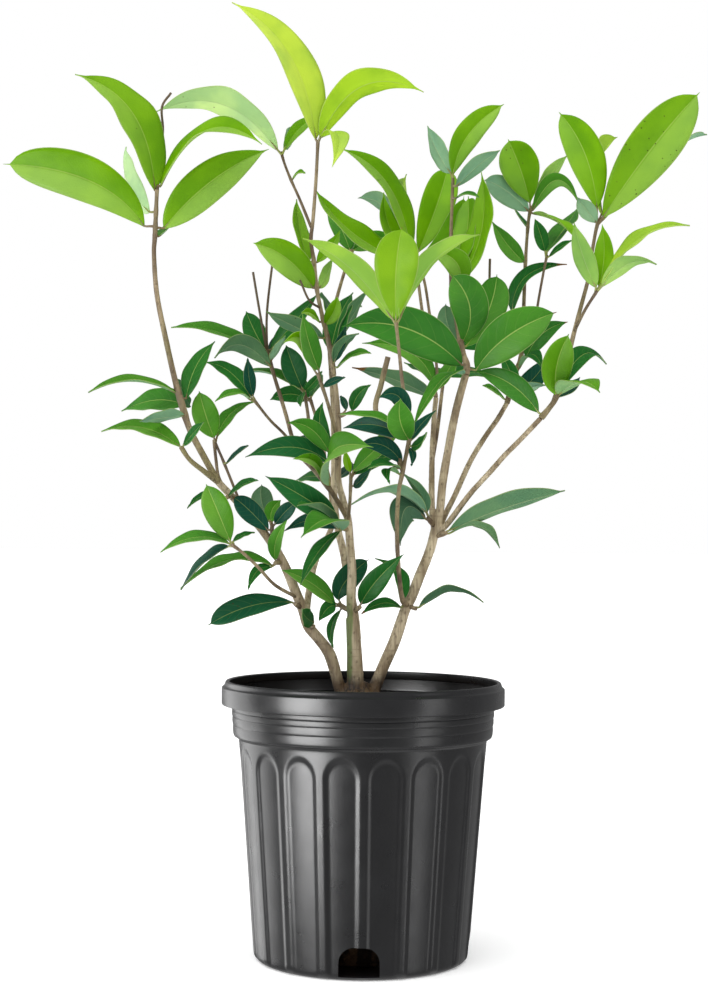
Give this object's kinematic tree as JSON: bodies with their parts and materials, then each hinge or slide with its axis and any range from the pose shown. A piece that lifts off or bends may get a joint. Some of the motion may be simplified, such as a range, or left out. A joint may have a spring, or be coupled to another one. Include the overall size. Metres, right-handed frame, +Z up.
{
  "type": "potted tea olive",
  "caption": "Evergreen tea olive shrub with woody canes and pointed waxy leaves, growing in a round black plastic nursery can with arched flutes, a wide band and drain openings.",
  "frame": {"origin": "centre of the can's flat underside", "axes": "+Z up along the can's axis, front towards -Y, +X to the right as seen from the front"},
  "size_m": [0.5589, 0.3357, 0.7607],
  "materials": {
    "can": "black moulded plastic, satin",
    "mix": "dark bark mix with white perlite",
    "bark": "beige-brown bark with pale pores and rings",
    "leaf": "waxy green blades with a light midrib, paler below"
  },
  "bodies": {
    "root": {"pot": "can", "potting_mix": "mix", "woody_canes": "bark", "left_leader": "leaf", "left_low_twig": "leaf", "left_thin_twig": "leaf", "left_outer_twig": "leaf", "left_cane_leaves": "leaf", "left_cane_spray": "leaf", "left_upper_pair": "leaf", "left_knot_leaf": "leaf", "left_inner_leaf": "leaf", "centre_low_left": "leaf", "centre_low_right": "leaf", "centre_left_leaves": "leaf", "centre_mid_leaves": "leaf", "centre_front_twig": "leaf", "mid_left": "leaf", "mid_left_top": "leaf", "centre_leader": "leaf", "centre_cane_pair": "leaf", "centre_cane_small": "leaf", "upper_centre": "leaf", "upper_right": "leaf", "upper_back_right": "leaf", "right_leader": "leaf", "right_side": "leaf", "front_bright": "leaf", "right_cane_leaf": "leaf", "right_knot_left": "leaf", "right_knot_right": "leaf", "back_right": "leaf", "back_centre": "leaf", "back_left": "leaf"}
  },
  "joints": []
}
